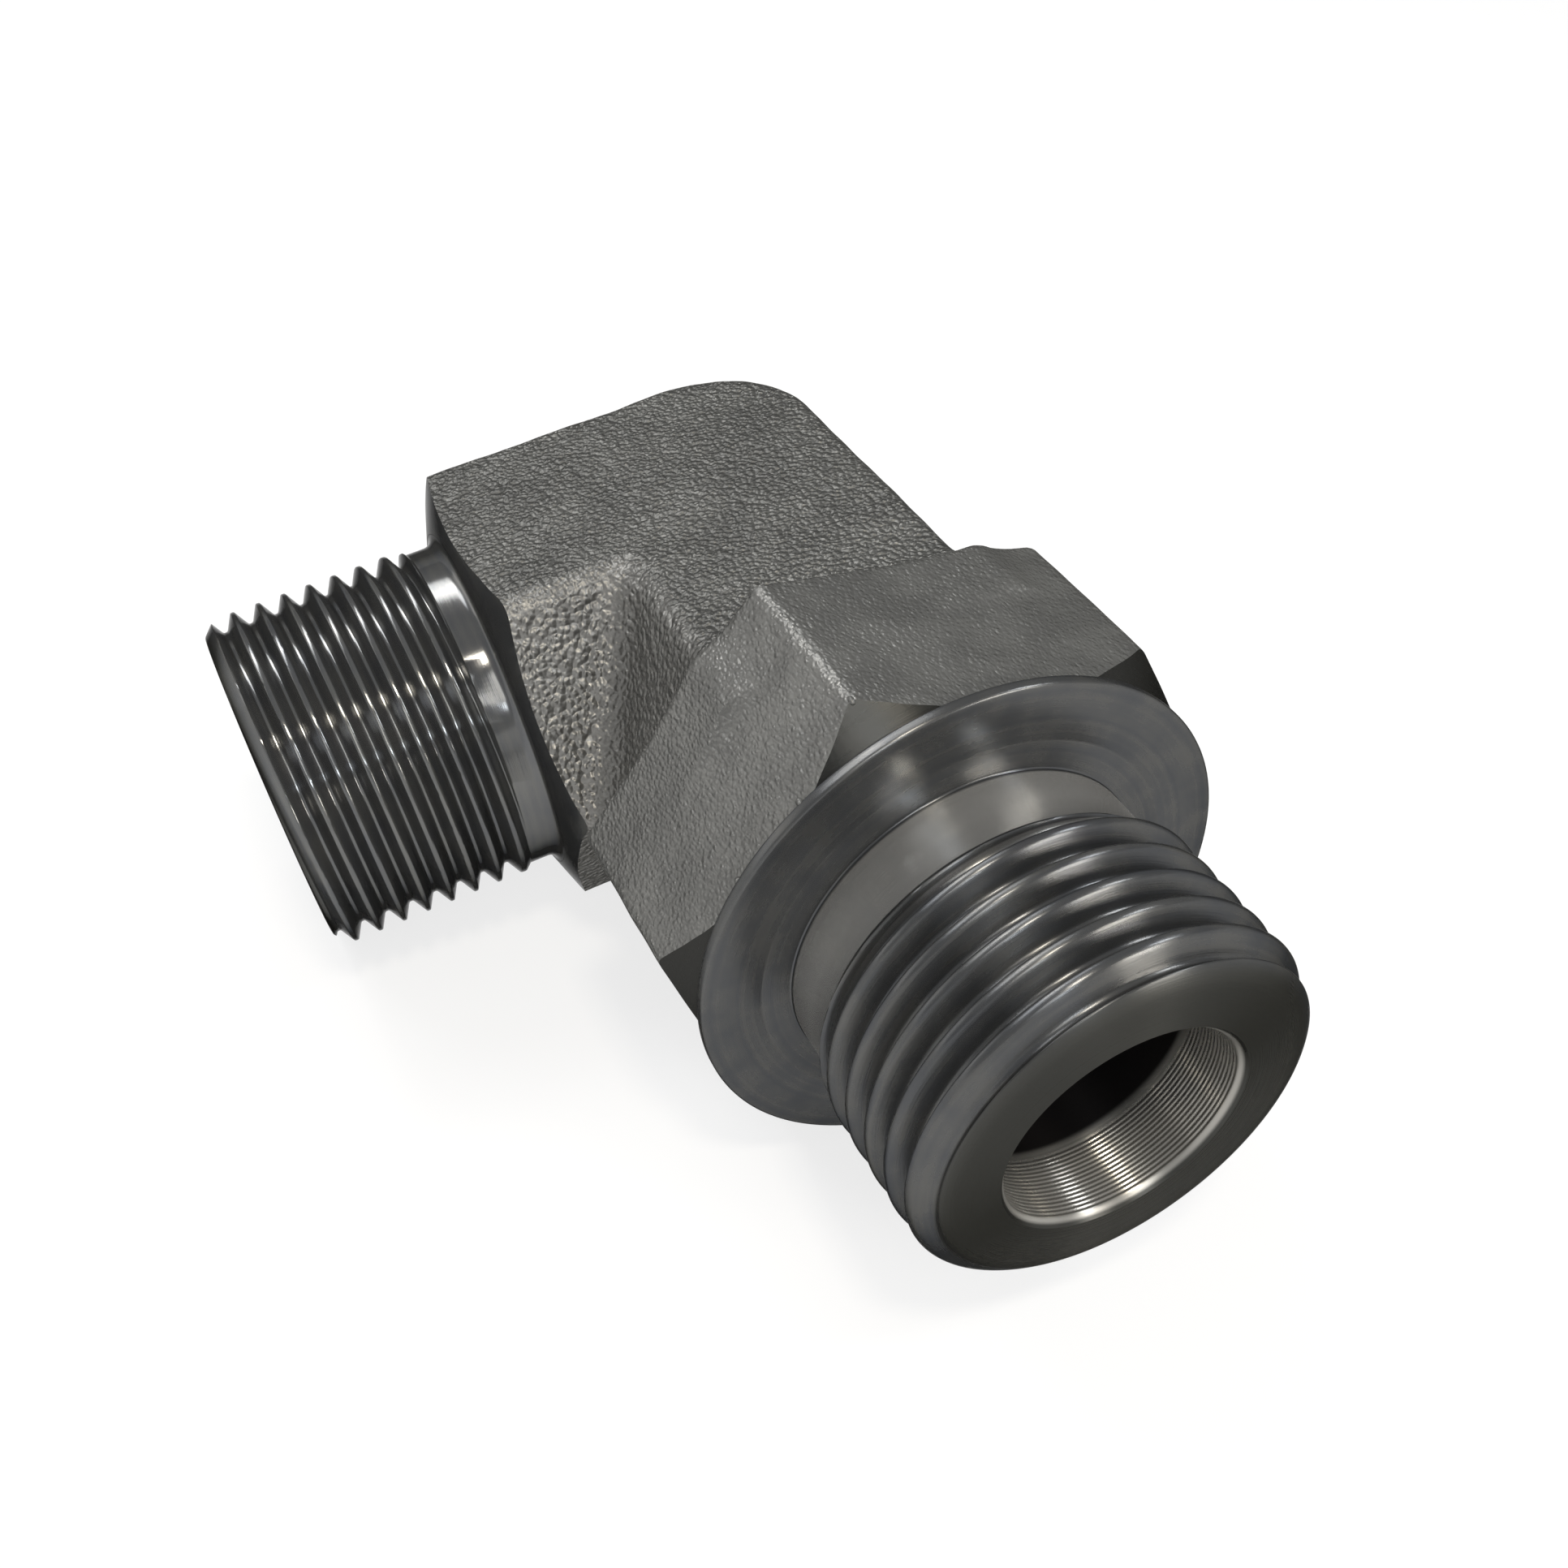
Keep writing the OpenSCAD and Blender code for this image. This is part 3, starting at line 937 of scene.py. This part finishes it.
# %% The two turned ends
# The stud end's tones are set darker than the tube end's: painted shade, so that its
# collar and thread don't mirror the pale floor as brightly.
turned_material(
    stud_steel, axis=(0, -1, 0), centre=(0, 0, 0), bore_limit=bore_r,
    bore_depth=stud_len - mouth - ring_zone, length=stud_len, neck_sheen_share=1.0,
    finish=0.22, tones=((0.09, 0.093, 0.098, 1), (0.118, 0.118, 0.115, 1)))
turned_material(
    turned_steel, axis=tuple(tube_axis), centre=(0, collar_reach, 0),
    bore_limit=socket_r, bore_depth=socket_floor - 0.2, length=tube_reach,
    neck_sheen_share=0.0, finish=0.12,
    tones=((0.13, 0.133, 0.138, 1), (0.165, 0.165, 0.16, 1)))

# %% [markdown]
# ## Floor and background
# The floor is a pale round bowl, like a paper sweep in a studio, so that no
# horizon shows close behind the piece. These lengths are in metres.

# %% Floor bowl
floor_z = cad_box[0][2]
wall_r = 1.0
wall_top = 0.35
sweep = 0.25
slices = 96
around = [2 * math.pi * k / slices for k in range(slices)]
rise = [(wall_r - sweep + sweep * math.sin(t), sweep - sweep * math.cos(t))
        for t in (math.pi / 2 * k / 12 for k in range(13))]
rings = [(0.02, 0.0), (0.3, 0.0)] + rise + [(wall_r, wall_top)]
points = [(r * math.cos(t), r * math.sin(t), floor_z + h)
          for r, h in rings for t in around]
faces = []
for low in range(0, (len(rings) - 1) * slices, slices):
    for j in range(slices):
        k = (j + 1) % slices
        faces.append([low + j, low + k, low + slices + k, low + slices + j])
faces.append(list(range(slices - 1, -1, -1)))
mesh = bpy.data.meshes.new("floor")
mesh.from_pydata(points, [], faces)
floor = bpy.data.objects.new("floor", mesh)
bpy.context.scene.collection.objects.link(floor)
for face in mesh.polygons:
    face.use_smooth = True
print("floor faces:", len(faces))

# %% [markdown]
# ## Paper and daylight
# The camera and mirror-like surfaces see part of the floor as plain white. The
# rest is matt paper, which keeps the soft shadow of the piece. The world is
# plain and dim, and fills the shadows.

# %% Paper and world
def seen_directly(tree):
    """1 for rays from the camera, a mirror or glass, and 0 for diffuse light."""
    path = add(tree, "ShaderNodeLightPath").outputs
    seen = maths(tree, "MAXIMUM", path["Is Camera Ray"], path["Is Glossy Ray"])
    return maths(tree, "MAXIMUM", seen, path["Is Transmission Ray"])


paper = bpy.data.materials.new("pale_paper")
paper.use_nodes = True
tree = paper.node_tree
tree.nodes.clear()
matt = add(tree, "ShaderNodeBsdfDiffuse", {"Color": (0.9, 0.9, 0.9, 1)}).outputs[0]
white = add(tree, "ShaderNodeEmission", {"Strength": 1.0}).outputs[0]
share = maths(tree, "MULTIPLY", seen_directly(tree), 0.77)
mixed = add(tree, "ShaderNodeMixShader", {0: share, 1: matt, 2: white}).outputs[0]
output = tree.nodes.new("ShaderNodeOutputMaterial")
tree.links.new(mixed, output.inputs[0])
paint(floor, paper)

world = bpy.data.worlds.new("studio")
bpy.context.scene.world = world
world.use_nodes = True
tree = world.node_tree
tree.nodes.clear()
dim = add(tree, "ShaderNodeBackground", {
    "Color": (0.96, 0.98, 1.0, 1), "Strength": 0.42}).outputs[0]
output = tree.nodes.new("ShaderNodeOutputWorld")
tree.links.new(dim, output.inputs[0])
print("stage materials:", paper.name, world.name)

# %% [markdown]
# ## Lights
# Soft lights stand where the highlights on the threads and the neck say they
# stood. Small ones make the bright spots on the crests, and large dim boxes
# the broad sheen. A studio image would light it as well, but each lamp here
# can be moved to fit one highlight. Each is given by the direction to it from
# the piece, its size in metres, its power in watts and its colour.

# %% Lights
middle = (Vector(cad_box[0]) + Vector(cad_box[1])) / 2
light_reach = 0.4


def soft_light(name, direction, size, power, colour):
    data = bpy.data.lights.new(name, "AREA")
    data.shape = "RECTANGLE"
    data.size, data.size_y = size
    data.energy = power
    data.color = colour
    obj = bpy.data.objects.new(name, data)
    away = Vector(direction).normalized()
    obj.location = middle + away * light_reach
    obj.rotation_euler = away.to_track_quat("Z", "Y").to_euler()
    bpy.context.scene.collection.objects.link(obj)


soft_light("key_light", (-0.09, -0.34, 0.94), (0.06, 0.05), 0.6, (1.0, 0.92, 0.78))
soft_light("front_light", (-0.05, -0.82, 0.56), (0.06, 0.03), 0.14, (0.9, 0.95, 1.0))
soft_light("front_box", (-0.22, -0.66, 0.72), (0.08, 0.16), 0.2, (1.0, 0.98, 0.94))
soft_light("low_light", (0.48, -0.81, 0.34), (0.10, 0.08), 0.5, (1.0, 0.95, 0.87))
soft_light("right_light", (0.6, -0.30, 0.74), (0.08, 0.08), 0.36, (0.96, 0.98, 1.0))
soft_light("back_light", (-0.24, 0.62, 0.76), (0.07, 0.05), 0.14, (1.0, 0.92, 0.8))
soft_light("back_box", (-0.24, 0.59, 0.77), (0.32, 0.12), 0.8, (0.97, 0.98, 1.0))
soft_light("left_box", (-0.74, 0.60, 0.32), (0.2, 0.16), 0.1, (1.0, 0.97, 0.92))
print("lights:", len(bpy.data.lights))

# %% [markdown]
# ## Camera
# Its place, turn, lens and shift were solved from the photograph's outlines
# and the known sizes of the two threads. It stands close to the piece, so the
# stud looks larger than the tube end.

# %% Camera
camera_at = Vector((-35.194, -46.765, 56.647)) * MM
camera_azimuth = 24.728
camera_elevation = 44.561
camera_roll = 0.931
data = bpy.data.cameras.new("photo_camera")
camera = bpy.data.objects.new("photo_camera", data)
bpy.context.scene.collection.objects.link(camera)
turn = (
    Matrix.Rotation(math.radians(-camera_azimuth), 4, "Z")
    @ Matrix.Rotation(math.radians(90 - camera_elevation), 4, "X")
    @ Matrix.Rotation(math.radians(camera_roll), 4, "Z")
)
camera.matrix_world = Matrix.Translation(camera_at) @ turn
data.lens = 37.364
data.sensor_width = 36
data.shift_x = 0.0445
data.shift_y = 0.0849
data.clip_start = 0.005
data.clip_end = 20
bpy.context.scene.camera = camera
print("camera distance, mm: %.1f" % (camera_at.length / MM))

# %% [markdown]
# The dressed part is made to stay inside the CAD model's box, which is printed.

# %% Finish
bpy.context.scene.view_settings.view_transform = "Standard"
bpy.context.view_layer.update()
print("cad box", cad_box)
